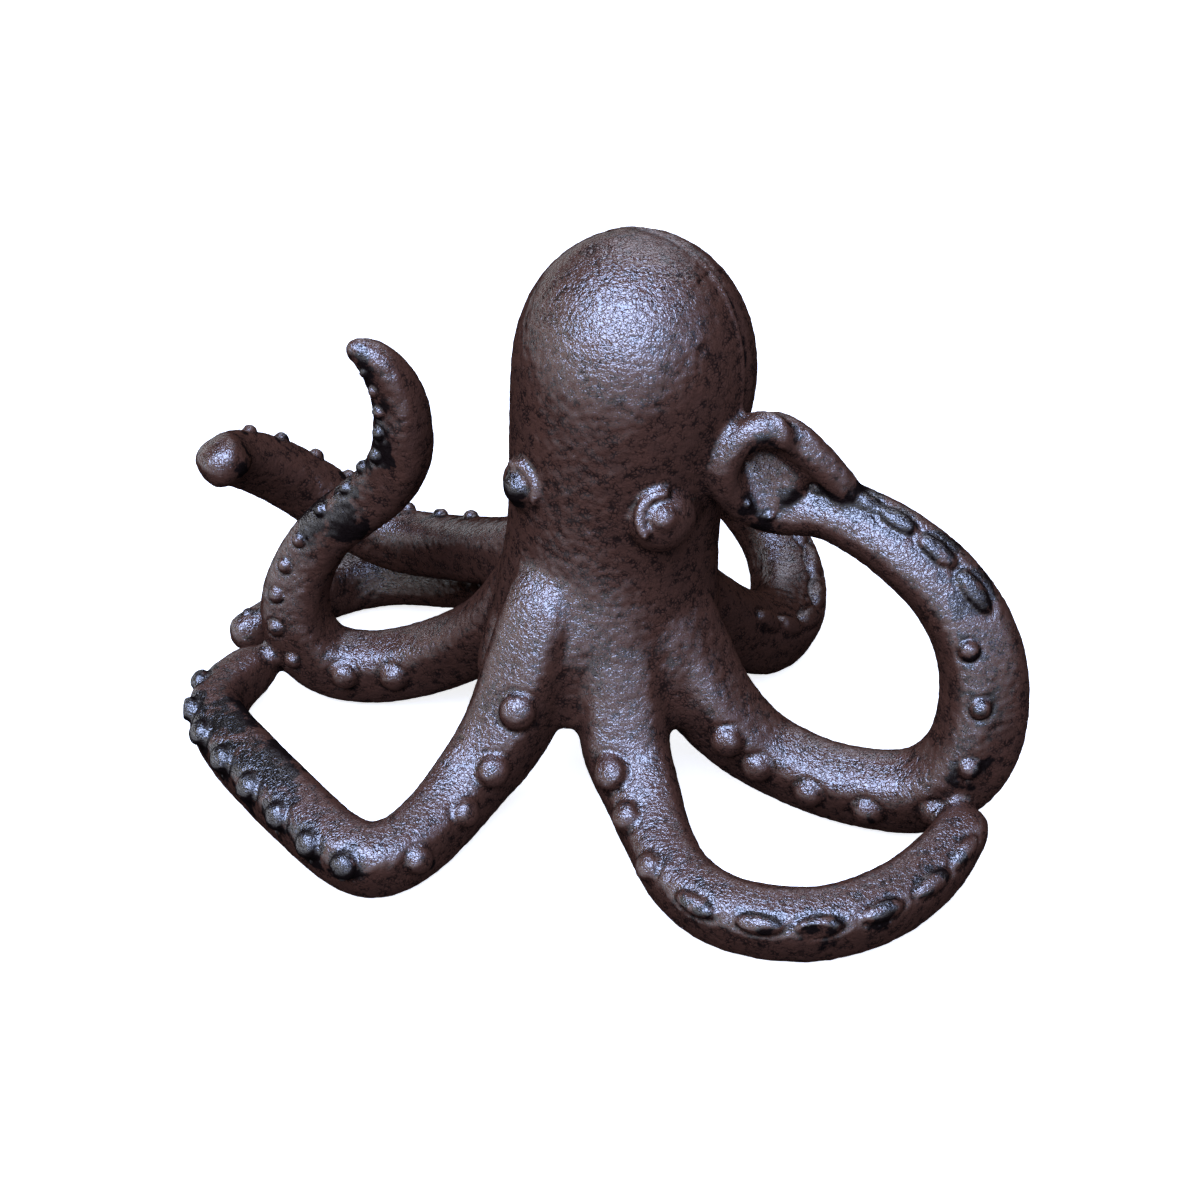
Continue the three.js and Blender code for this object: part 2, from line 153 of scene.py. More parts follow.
@dataclass(frozen=True)
class SuckerRun:
    """A row of equal suckers on an arm.

    Stations count along the route. Angles go from the section's upper side towards its outer side, in
    degrees. `wear` says how far hands have rubbed the lacquer off round them, from 0 to 1.
    """

    first: float
    last: float
    count: int
    first_angle: float
    last_angle: float
    form: SuckerForm = SuckerForm.DOME
    wear: float = 0.25


class Outline(Enum):
    """Outline of the face that a form is pulled from."""

    ROUND = "round"
    ROUNDED_BOX = "rounded box"


@dataclass(frozen=True)
class SectionFrame:
    """Where one section of an arm stands and which way it faces; metres."""

    middle: Vector
    up: Vector
    out: Vector
    forward: Vector
    half: float

    def matrix(self, flatness: float = 1.0) -> Matrix:
        """Return the matrix that puts a section drawn in X (up) and Y (out) here, made this flat."""
        columns = (self.up * self.half, self.out * self.half * flatness, self.forward * self.half)
        turned = Matrix(columns).transposed().to_4x4()
        turned.translation = self.middle
        return turned


@dataclass(frozen=True)
class Sucker:
    """One sucker: its middle on the skin, the way it faces and the arm's direction there; metres."""

    centre: Vector
    facing: Vector
    forward: Vector
    half: float
    form: SuckerForm
    wear: float

    @property
    def radius(self) -> float:
        """Return the radius across the arm."""
        return self.half * self.form.value[0]


def deselect_all() -> None:
    """Leave nothing selected, so that the next operator works on the new piece alone."""
    bpy.ops.object.select_all(action="DESELECT")


def choose(*objects: Object) -> None:
    """Select these objects alone and make the first one active."""
    deselect_all()
    for item in objects:
        item.select_set(True)
    bpy.context.view_layer.objects.active = objects[0]


def joined(name: str, objects: list[Object]) -> Object:
    """Join objects into one, with the origin of the first one and a new name."""
    choose(*objects)
    bpy.ops.object.join()
    result = bpy.context.active_object
    result.name = name
    result.data.name = name
    return result


def apply_modifiers(piece: Object) -> None:
    """Apply every modifier of a piece, from the first to the last."""
    choose(piece)
    for modifier in list(piece.modifiers):
        bpy.ops.object.modifier_apply(modifier=modifier.name)


def apply_place(piece: Object) -> None:
    """Put the object's place, turn and size into its mesh."""
    choose(piece)
    bpy.ops.object.transform_apply(location=True, rotation=True, scale=True)


def ball(centre: Place, radius: float, segments: int, rings: int) -> Object:
    """Add a ball whose centre and radius are in millimetres."""
    deselect_all()
    bpy.ops.mesh.primitive_uv_sphere_add(
        segments=segments, ring_count=rings, radius=radius * MM, location=place(*centre)
    )
    return bpy.context.active_object


def edit_all() -> None:
    """Enter edit mode with the whole active piece selected."""
    bpy.ops.object.mode_set(mode="EDIT")
    bpy.ops.mesh.select_all(action="SELECT")


def turn_faces_outwards() -> None:
    """Turn all faces of the piece in edit mode outwards, and leave edit mode."""
    bpy.ops.mesh.select_all(action="SELECT")
    bpy.ops.mesh.normals_make_consistent(inside=False)
    bpy.ops.object.mode_set(mode="OBJECT")


def copy_at(template: Object, matrix: Matrix) -> Object:
    """Copy a piece modelled round the origin, with a mesh of its own that holds the copy's place."""
    twin = template.copy()
    twin.data = template.data.copy()
    bpy.context.collection.objects.link(twin)
    twin.data.transform(matrix)
    return twin


def rows(items: bpy.types.bpy_prop_collection, name: str) -> np.ndarray:
    """Return a vector that every vertex or face of a mesh has, as rows of x, y and z."""
    values = np.empty(len(items) * 3)
    items.foreach_get(name, values)
    return values.reshape(-1, 3)


def coordinates(piece: Object) -> np.ndarray:
    """Return the piece's vertices in metres."""
    return rows(piece.data.vertices, "co")


def normals(piece: Object) -> np.ndarray:
    """Return the piece's vertex normals."""
    return rows(piece.data.vertices, "normal")


def move_vertices(piece: Object, places: np.ndarray) -> None:
    """Write new vertex places into a piece's mesh."""
    piece.data.vertices.foreach_set("co", places.ravel())
    piece.data.update()


def catmull_rom(points: list[Vector], position: float) -> Vector:
    """Point on the centripetal spline through a route.

    Args:
        points: The route's stations.
        position: Station number, with a fraction between two stations.

    Returns:
        The point at that position.
    """
    last = len(points) - 1
    span = min(int(position), last - 1)
    share = position - span
    start, end = points[span], points[span + 1]
    before = points[span - 1] if span > 0 else start * 2 - end
    after = points[span + 2] if span + 2 <= last else end * 2 - start
    pairs = ((before, start), (start, end), (end, after))
    lead, middle, trail = (math.sqrt((b - a).length) for a, b in pairs)
    leaving = end - start + ((start - before) / lead - (end - before) / (lead + middle)) * middle
    arriving = end - start + ((after - end) / trail - (after - start) / (middle + trail)) * middle
    cubic = (start - end) * 2 + leaving + arriving
    square = (end - start) * 3 - leaving * 2 - arriving
    return ((cubic * share + square) * share + leaving) * share + start


class Extrusion:
    """A closed form pulled out of a flat face, ring after ring."""

    def __init__(self, name: str, sections: list[SectionFrame], outline: Outline, flatness: float = 1.0):
        """Draw the first section and pull it through the others.

        Args:
            name: Name of the piece.
            sections: Where the sections stand.
            outline: Shape of the section.
            flatness: Width of the section over its height.
        """
        deselect_all()
        if outline is Outline.ROUND:
            bpy.ops.mesh.primitive_circle_add(vertices=24, radius=1.0, fill_type="NGON")
        else:
            bpy.ops.mesh.primitive_plane_add(size=2.0)
            edit_all()
            bpy.ops.mesh.bevel(affect="VERTICES", offset=BOX_CORNER, segments=3)
            bpy.ops.object.mode_set(mode="OBJECT")
        self.piece = bpy.context.active_object
        self.piece.name = name
        self.piece.data.transform(sections[0].matrix(flatness))
        edit_all()
        self.at = sections[0]
        for section in sections[1:]:
            self.pull_to(section)

    def pull_to(self, target: SectionFrame) -> None:
        """Extrude the face to the next section, turn it and size it there."""
        step = target.middle - self.at.middle
        bpy.ops.mesh.extrude_region_move(TRANSFORM_OT_translate={"value": step})
        old = Matrix((self.at.up, self.at.out, self.at.forward)).transposed()
        new = Matrix((target.up, target.out, target.forward)).transposed()
        # Without a window the operator turns the other way, hence the minus.
        for axis, angle in zip("XYZ", (new @ old.transposed()).to_euler("XYZ")):
            bpy.ops.transform.rotate(value=-angle, orient_axis=axis, center_override=target.middle)
        share = target.half / self.at.half
        bpy.ops.transform.resize(value=(share, share, share), center_override=target.middle)
        self.at = target

    def round_tip(self, *steps: tuple[float, float]) -> None:
        """Pull the end out into a round tip, by steps of reach and size over the end's half height."""
        end = self.at
        for reach, size in steps:
            middle = end.middle + end.forward * end.half * reach
            self.pull_to(SectionFrame(middle, end.up, end.out, end.forward, end.half * size))

    def finish(self, levels: int = 1) -> Object:
        """Close the form with its faces outwards and round it off by this many subdivision levels."""
        turn_faces_outwards()
        rounding = self.piece.modifiers.new("rounding", "SUBSURF")
        rounding.levels = levels
        rounding.render_levels = levels
        apply_modifiers(self.piece)
        return self.piece


@dataclass
class Arm:
    """One arm, from the middle of the neck to its tip.

    The route's stations are x, y, z of the section's middle and its half height, in millimetres. The arm's
    casting starts at the station `joint`.
    """

    node: str
    joint: float
    route: tuple[Station, ...]
    runs: tuple[SuckerRun, ...]
    flatness: float = 0.88
    frames: list[SectionFrame] = field(init=False, default_factory=list)

    def __post_init__(self) -> None:
        """Carry the section along the route without a twist, starting upright."""
        points = [place(x, y, z) for x, y, z, _ in self.route]
        last = len(points) - 1
        step = 0.5 / RINGS_PER_SPAN
        up = Vector((0.0, 0.0, 1.0))
        for ring in range(last * RINGS_PER_SPAN + 1):
            station = ring / RINGS_PER_SPAN
            behind = catmull_rom(points, max(station - step, 0.0))
            ahead = catmull_rom(points, min(station + step, last))
            forward = (ahead - behind).normalized()
            up = (up - forward * up.dot(forward)).normalized()
            out = forward.cross(up).normalized()
            half = (self.half_height(station) + SKIN_ALLOWANCE) * MM
            self.frames.append(SectionFrame(catmull_rom(points, station), up, out, forward, half))

    @property
    def last(self) -> int:
        """Return the last station's number."""
        return len(self.route) - 1

    def half_height(self, station: float) -> float:
        """Return the arm's half height at a station, in millimetres."""
        first = min(int(station), self.last - 1)
        share = station - first
        return self.route[first][3] * (1 - share) + self.route[first + 1][3] * share

    def frame_at(self, station: float) -> SectionFrame:
        """Return the section at any station."""
        position = min(station * RINGS_PER_SPAN, len(self.frames) - 1.001)
        a = self.frames[int(position)]
        b = self.frames[int(position) + 1]
        share = position - int(position)
        return SectionFrame(
            a.middle.lerp(b.middle, share),
            a.up.lerp(b.up, share).normalized(),
            a.out.lerp(b.out, share).normalized(),
            a.forward.lerp(b.forward, share).normalized(),
            a.half * (1 - share) + b.half * share,
        )

    def on_skin(self, station: float, angle: float) -> tuple[Vector, Vector]:
        """Find a place on the arm's surface.

        Args:
            station: Where along the route.
            angle: Degrees from the section's upper side towards its outer side.

        Returns:
            The place and the way that the surface faces there.
        """
        section = self.frame_at(station)
        upwards = math.cos(math.radians(angle))
        outwards = math.sin(math.radians(angle))
        height = math.copysign(abs(upwards) ** SQUARENESS, upwards)
        width = math.copysign(abs(outwards) ** SQUARENESS, outwards) * self.flatness
        facing = (section.up * upwards + section.out * outwards).normalized()
        return section.middle + (section.up * height + section.out * width) * section.half, facing

    def suckers(self) -> list[Sucker]:
        """Return every sucker of the arm."""
        found = []
        for run in self.runs:
            for index in range(run.count):
                share = index / max(run.count - 1, 1)
                station = run.first + (run.last - run.first) * share
                angle = run.first_angle + (run.last_angle - run.first_angle) * share
                centre, facing = self.on_skin(station, angle)
                section = self.frame_at(station)
                found.append(Sucker(centre, facing, section.forward, section.half, run.form, run.wear))
        return found

    def build(self) -> Object:
        """Extrude the arm along its route and round its tip."""
        form = Extrusion(self.node, self.frames, Outline.ROUNDED_BOX, self.flatness)
        form.round_tip((0.45, 0.86), (0.8, 0.5))
        return form.finish()


ARMS = (
    Arm(
        "arm_front_left", 4,
        (
            (-4, 2, 42, 4.4), (-7.4, -3.8, 36.4, 7), (-10.8, -7.4, 25.6, 7.5), (-15, -10.8, 15.8, 7),
            (-20.3, -15, 10, 6.2), (-25, -21, 7, 5.8), (-30.3, -27, 5.6, 5.6), (-34.8, -29, 5.2, 5.6),
            (-39.4, -26.6, 5.4, 5.6), (-45, -20.2, 5.6, 5.7), (-50.8, -12.4, 5.7, 5.8),
            (-56.4, -4.4, 5.7, 5.8), (-61, 3, 5.7, 5.6), (-63.3, 9, 6, 5.1), (-61.8, 15, 6.7, 4.5),
            (-58, 20, 7.6, 4),
        ),
        (SuckerRun(2.4, 6.0, 4, -25, -72), SuckerRun(7.4, 13.6, 8, -60, -45, wear=1.0)),
    ),
    Arm(
        "arm_front_right", 5,
        (
            (2, 3, 42, 4.4), (2.4, -3, 36, 6.8), (3, -6, 27.5, 7.4), (3.5, -8.2, 19.5, 8),
            (4.1, -11.6, 13.6, 7.8), (6.2, -16.6, 10, 6.9), (8.8, -25, 7, 5.9), (12.2, -34, 5.5, 5.5),
            (18.2, -40.6, 5.1, 5.4), (25, -43, 4.9, 5.4), (32, -43.4, 4.9, 5.4), (39.4, -41.2, 5.2, 5.4),
            (46.3, -36.4, 5.5, 5.4), (51.6, -31, 6.6, 5.2), (55.6, -25.8, 8.6, 4.6),
        ),
        (SuckerRun(4.8, 6.8, 3, 32, 48), SuckerRun(7.8, 13.2, 6, 42, 34, SuckerForm.PAD, wear=0.6)),
    ),
    Arm(
        "arm_right_loop", 5,
        (
            (5, 4, 41, 4.4), (10, -1, 34.5, 6.6), (13.2, -3, 26.8, 7), (16.6, -5.4, 20, 6.9),
            (21, -7, 14.8, 6.5), (26, -8, 10.8, 6.1), (34, -11.2, 8.3, 5.9), (42, -14, 7.8, 6.1),
            (50.6, -16.5, 9.4, 6.6), (57, -17.6, 17, 6.7), (58.6, -16.2, 26, 6.5), (57.5, -14, 34.4, 6.3),
            (52.8, -11, 42.6, 5.9), (45.8, -8, 48.4, 5.5), (39.5, -5, 51.3, 5), (33.3, -3, 52.8, 4.5),
            (27, -2.4, 51.6, 3.5), (21.6, -3.6, 54, 2.8), (18.4, -5.4, 59.4, 2.5), (20.2, -5, 64.8, 2.6),
            (25.2, -4, 67.2, 3), (30.2, -4, 63.9, 3.1), (34, -4.6, 60.2, 2.8), (37, -5, 56.8, 2.6),
        ),
        (
            SuckerRun(3.9, 8.2, 5, 66, 88),
            SuckerRun(9.1, 11.2, 3, 74, 66, SuckerForm.BEAD, wear=0.5),
            SuckerRun(11.9, 15.6, 6, 98, 108, SuckerForm.PAD, wear=0.9),
            SuckerRun(16.4, 17.2, 2, 60, 66, SuckerForm.BEAD, wear=0.9),
        ),
    ),
    Arm(
        "arm_left_curl", 5,
        (
            (-3, 8, 42, 4.4), (-8.7, 8.5, 36.4, 5.7), (-12.8, 10, 28, 5.9), (-16.8, 12.5, 21, 5.9),
            (-21, 15.5, 16, 5.8), (-25, 17.8, 12.5, 5.8), (-31, 20, 8.8, 5.8), (-39, 21.4, 6.6, 5.8),
            (-46.6, 22.4, 7.8, 5.9), (-50.6, 22.8, 13.7, 5.7), (-50.7, 23, 20.5, 5.3), (-48.4, 23, 27, 4.9),
            (-44.7, 22, 33.2, 4.7), (-39.6, 20, 38.6, 4.7), (-34.7, 18, 43.9, 4.8), (-31.6, 16, 50, 4.7),
            (-30.8, 15, 55.6, 4.5), (-31, 15, 60.6, 4.2), (-32.6, 15, 65.4, 3.7), (-35.3, 15, 69, 2.9),
            (-37.7, 15, 70.2, 1.9),
        ),
        (
            SuckerRun(6.3, 7.4, 2, -82, -74),
            SuckerRun(8.6, 11.7, 5, -92, -108, SuckerForm.BEAD),
            SuckerRun(12.6, 14.4, 3, -130, -150, SuckerForm.BEAD, wear=0.8),
            SuckerRun(15.3, 18.8, 5, -115, -100, SuckerForm.BEAD, wear=0.8),
        ),
    ),
    Arm(
        "arm_rear_left_raised", 3,
        (
            (-3, 10, 40, 4.4), (-9.5, 15, 35, 5.3), (-15.4, 20.5, 30.2, 5.4), (-20.4, 27.4, 26.2, 5.3),
            (-27.4, 36, 21.6, 5.2), (-35.6, 42.5, 19.2, 5.3), (-43.4, 45, 22.2, 5.4), (-49.5, 45, 27.2, 5.4),
            (-55.4, 43, 32.6, 5.2), (-60.3, 39, 37, 4.8), (-62.6, 34.4, 39.8, 4.5), (-61.8, 30.5, 41, 4.1),
        ),
        (SuckerRun(3.2, 9.0, 8, 22, 50, SuckerForm.BEAD, wear=0.5),),
    ),
    Arm(
        "arm_rear_left_low", 3,
        (
            (-1, 13, 34, 4.4), (-5.6, 20, 26, 5.2), (-9.8, 27, 20, 5.4), (-14, 34, 15.6, 5.4),
            (-20.4, 42, 11.2, 5.4), (-28.6, 48.4, 7.8, 5.3), (-37.5, 52.2, 5.6, 5.3), (-45, 51, 4.8, 5.2),
            (-51.6, 45.2, 4.9, 4.8), (-56.6, 39, 4.6, 4.1), (-61.8, 35.2, 4.4, 3.3),
        ),
        (SuckerRun(4.4, 9.8, 7, 35, 0, SuckerForm.BEAD, wear=0.6),),
    ),
    Arm(
        "arm_rear_right", 4,
        (
            (4, 10, 38, 4.4), (10, 12.5, 31, 5.6), (14.8, 15, 25, 6), (19.4, 19, 18.5, 6.2),
            (23.6, 24, 12.6, 6.3), (28, 29, 8.4, 6.3), (31.6, 35, 6.5, 6.3), (33, 42, 6.6, 6.2),
            (33, 48.4, 8.8, 5.8), (31, 53.4, 12.4, 5.3), (27, 56, 17, 4.8), (22.4, 56.6, 21.6, 4.4),
            (18.4, 55, 25.4, 3.8),
        ),
        (SuckerRun(3.6, 8.8, 6, 40, 5, SuckerForm.PAD),),
        flatness=1.0,
    ),
    Arm(
        "arm_rear", 3,
        (
            (2, 13, 36, 4.4), (3.5, 20, 27, 5.4), (5.5, 27, 19, 5.5), (6.5, 34, 12.8, 5.4),
            (6, 42, 8.6, 5.3), (2, 49.5, 6.3, 5.1), (-4.6, 54, 5.5, 4.8), (-11, 53.5, 5, 4.2),
            (-15, 48.6, 4.7, 3.6),
        ),
        (SuckerRun(3.5, 7.6, 6, 45, 42),),
    ),
)


@dataclass
class Eye:
    """A brow mound, a ball in it and a lid that curves over the ball; millimetres."""

    mound: Place
    facing: Place
    lid_turn: float
    mound_radius: float = 5.4
    ball_radius: float = 2.7
    ball_reach: float = 3.8
    lid_radius: float = 3.5
    lid_thickness: float = 0.95
    lid_lift: float = 0.5  # how far the lid stands out of the eyeball's middle
    lid_ends: float = 0.3  # height of the crescent's ends over the lid's radius

    @property
    def ball_centre(self) -> Vector:
        """Return the middle of the eyeball, which stands out of the mound."""
        return Vector(self.mound) + Vector(self.facing).normalized() * self.ball_reach

    def build(self) -> list[Object]:
        """Model the mound, the ball and the lid."""
        rounds = ((self.mound, self.mound_radius), (self.ball_centre, self.ball_radius))
        parts = [ball(centre, radius, segments=28, rings=18) for centre, radius in rounds]
        parts.append(self.lid())
        for part in parts:
            apply_place(part)
        return parts

    def lid(self) -> Object:
        """Model the lid: a thin crescent bent round the upper side of the ball."""
        deselect_all()
        facing = Vector(self.facing).normalized()
        roll = Matrix.Rotation(math.radians(self.lid_turn), 3, "Z")
        turn = facing.to_track_quat("Z", "Y").to_matrix() @ roll
        centre = place(*self.ball_centre) + facing * self.lid_lift * MM
        bpy.ops.mesh.primitive_torus_add(
            major_radius=self.lid_radius * MM,
            minor_radius=self.lid_thickness * MM,
            major_segments=32,
            minor_segments=12,
            location=centre,
            rotation=turn.to_euler(),
        )
        lid = bpy.context.active_object
        apply_place(lid)
        edit_all()
        upper = turn @ Vector((0, 1, 0))
        ends = centre + upper * self.lid_radius * self.lid_ends * MM
        bpy.ops.mesh.bisect(plane_co=ends, plane_no=-upper, clear_outer=True, use_fill=True)
        turn_faces_outwards()
        return lid


@dataclass
class Head:
    """Mantle and neck in one form, with the eyes and the parting line of the mould; millimetres.

    Level rings of the mantle and neck are height, centre x, centre y and radius. Distances behind the
    parting line are counted from its ridge of flash.
    """

    node: str = "body"
    rings: tuple[tuple[float, ...], ...] = (
        (11.4, 1, 8, 4), (12.2, 1, 8, 7.4), (15, 1.1, 7.2, 11.6), (20, 1, 5.6, 16), (25, 0.8, 4.6, 18.2),
        (30, 1, 5, 18.2), (36, 1.4, 5.8, 17.5), (42, 1.9, 6.4, 16.8), (48, 2.4, 6.6, 16.8),
        (54, 3, 7, 17.3), (60, 4, 7.5, 18.2), (67, 5.1, 8, 19), (74, 5.2, 8, 18.9), (80, 5.2, 8, 17.3),
        (85, 5.2, 8, 14.5), (89, 5.2, 8, 10.4), (91.2, 5.2, 8, 6.2), (92.1, 5.2, 8, 2.4),
    )
    mantle_centre: Place = (5.2, 8, 74)
    parting_normal: Place = (0.53, 0.82, -0.2)
    parting_offset: float = 0.9
    parting_heights: tuple[float, float] = (60, 68)  # the line grows from nothing to full between them
    parting_sides: tuple[float, float] = (-6, 4)  # the same, to the right of the mantle's middle
    flash_height: float = 0.4
    flash_width: float = 0.55
    groove_depth: float = 0.5
    groove_width: float = 1.1
    groove_behind: float = 1.6
    shade_start: tuple[float, float] = (0.1, 0.9)  # distances behind the line over which the painted shade sets in
    shade_end: tuple[float, float] = (1.6, 3.0)  # and over which it dies out
    # Darkness of the painted shade behind the parting line.
    shade_strength: float = 0.6
    eyes: tuple[Eye, ...] = (
        Eye((9.0, -8.0, 54.2), (0.1, -0.9, 0.44), 62, ball_radius=2.4, lid_radius=3.6),
        Eye((-9.8, 0.4, 55.2), (-0.65, -0.74, 0.18), -40, 5.0, ball_radius=2.8, ball_reach=3.3),
    )

    def build(self) -> Object:
        """Turn the mantle and neck, ring by ring."""
        axes = Vector((1, 0, 0)), Vector((0, 1, 0)), Vector((0, 0, 1))
        sections = [SectionFrame(place(x, y, z), *axes, radius * MM) for z, x, y, radius in self.rings]
        return Extrusion(self.node, sections, Outline.ROUND).finish(levels=2)

    def build_eyes(self) -> list[Object]:
        """Model both eyes."""
        return [part for eye in self.eyes for part in eye.build()]

    def parting_distance(self, places: np.ndarray) -> np.ndarray:
        """Return how far points lie behind the mould's parting plane, in millimetres."""
        normal = np.array(Vector(self.parting_normal).normalized())
        return (places - np.array(place(*self.mantle_centre))) @ normal / MM - self.parting_offset

    def near_parting(self, places: np.ndarray) -> np.ndarray:
        """Return 1 on the part of the mantle that the parting line crosses, and 0 elsewhere."""
        middle = place(*self.mantle_centre)
        high = smooth_step(places[:, 2] / MM, *self.parting_heights)
        return high * smooth_step((places[:, 0] - middle.x) / MM, *self.parting_sides)

    def parting_shade(self, places: np.ndarray) -> np.ndarray:
        """Return the painted shade on a strip behind the parting line, from 0 to 1."""
        behind = self.parting_distance(places)
        strip = smooth_step(behind, *self.shade_start) * (1.0 - smooth_step(behind, *self.shade_end))
        return self.shade_strength * strip * self.near_parting(places)

    def press_parting_line(self, skin: Object) -> None:
        """Press a groove into the mantle and leave a thin ridge of flash along it."""
        places = coordinates(skin)
        behind = self.parting_distance(places)
        ridge = np.exp(-(behind / self.flash_width) ** 2) * self.flash_height
        groove = np.exp(-((behind - self.groove_behind) / self.groove_width) ** 2) * self.groove_depth
        offset = (ridge - groove) * self.near_parting(places)
        move_vertices(skin, places + normals(skin) * (offset * MM)[:, None])


@dataclass(frozen=True)
class SkirtWeb:
    """Iron that fills the corner between two arms, from the neck down to the crotch; millimetres."""

    name: str
    route: tuple[Station, ...]

    def build(self) -> Object:
        """Extrude the web down its route as a round form."""
        up = Vector((1, 0, 0))
        points = [place(x, y, z) for x, y, z, _ in self.route]
        sections = []
        for index, point in enumerate(points):
            ahead = points[min(index + 1, len(points) - 1)]
            behind = points[max(index - 1, 0)]
            forward = (ahead - behind).normalized()
            side = (up - forward * up.dot(forward)).normalized()
            half = self.route[index][3] * MM
            sections.append(SectionFrame(point, side, forward.cross(side), forward, half))
        form = Extrusion(f"web_{self.name}", sections, Outline.ROUND)
        form.round_tip((0.5, 0.86), (0.87, 0.5))
        return form.finish()


SKIRT_WEBS = (
    SkirtWeb("front", ((0, 1, 44, 7), (-2.4, -3.6, 35, 8.2), (-4.2, -6.6, 27, 7.2), (-4.9, -9.2, 19.4, 3.4))),
    SkirtWeb("right", ((5, 1, 42, 7), (8.8, -2.6, 33, 7.6), (11.6, -5.2, 25, 6.8), (13.2, -6.6, 19.6, 5))),
    SkirtWeb("left", ((-2, 4, 40, 6), (-9, 3, 33, 6.4), (-13.5, 2.4, 25.5, 5.6), (-15.6, 1.6, 21, 4.4))),
    SkirtWeb("rear", ((2, 10, 38, 7), (4.5, 14.5, 30, 6.6), (8, 18, 23, 5.4))),
)


@dataclass
class Weld:
    """Bead of weld that fills the place where the front left arm's end meets the curled arm; millimetres."""

    centre: Place = (-55.6, 20.6, 9.6)
    radius: float = 2.5
    proportions: Place = (1.15, 1.0, 0.85)

    def build(self) -> Object:
        """Model the bead as a flattened drop."""
        bead = ball(self.centre, self.radius, segments=20, rings=12)
        bpy.ops.transform.resize(value=self.proportions, center_override=place(*self.centre))
        apply_place(bead)
        return bead


@dataclass
class CurlWeb:
    """Thin iron that closes the back of the right arm's curl; millimetres."""

    centre: Place = (25.2, -2.2, 59.4)
    radius: float = 6.4
    thickness: float = 3.4
    tilt: tuple[float, float] = (-14, -16)  # degrees round X and Z, bringing its lower left edge forward
    edge: float = 0.5

    def build(self) -> Object:
        """Model the web as a thin disc with an eased edge."""
        deselect_all()
        bpy.ops.mesh.primitive_cylinder_add(
            vertices=32, radius=self.radius * MM, depth=self.thickness * MM,
            location=place(*self.centre),
            rotation=(math.pi / 2 + math.radians(self.tilt[0]), 0, math.radians(self.tilt[1])),
        )
        web = bpy.context.active_object
        apply_place(web)
        edge = web.modifiers.new("eased edge", "BEVEL")
        edge.width = self.edge * MM
        edge.segments = 2
        apply_modifiers(web)
        return web


def sucker_template(form: SuckerForm) -> Object:
    """Model a sucker for an arm of half height 1 that runs along X: a low dome facing +Z."""
    radius, height, length = form.value
    deselect_all()
    bpy.ops.mesh.primitive_uv_sphere_add(segments=20, ring_count=12, radius=1.0)
    dome = bpy.context.active_object
    dome.name = f"sucker_{form.name.lower()}"
    bpy.ops.transform.resize(value=(length, radius, height))
    bpy.ops.object.transform_apply(location=True, rotation=True, scale=True)
    return dome


def build_suckers(arms: tuple[Arm, ...]) -> tuple[list[Object], list[Sucker]]:
    """Copy the modelled suckers to their places on every arm, and return the copies and the places."""
    templates = {form: sucker_template(form) for form in SuckerForm}
    suckers = [sucker for arm in arms for sucker in arm.suckers()]
    copies = []
    for sucker in suckers:
        across = sucker.facing.cross(sucker.forward).normalized()
        along = across.cross(sucker.facing).normalized()
        turned = Matrix((along, across, sucker.facing)).transposed().to_4x4()
        turned = turned @ Matrix.Scale(sucker.half, 4)
        turned.translation = sucker.centre
        copies.append(copy_at(templates[sucker.form], turned))
    for template in templates.values():
        bpy.data.objects.remove(template)
    return copies, suckers


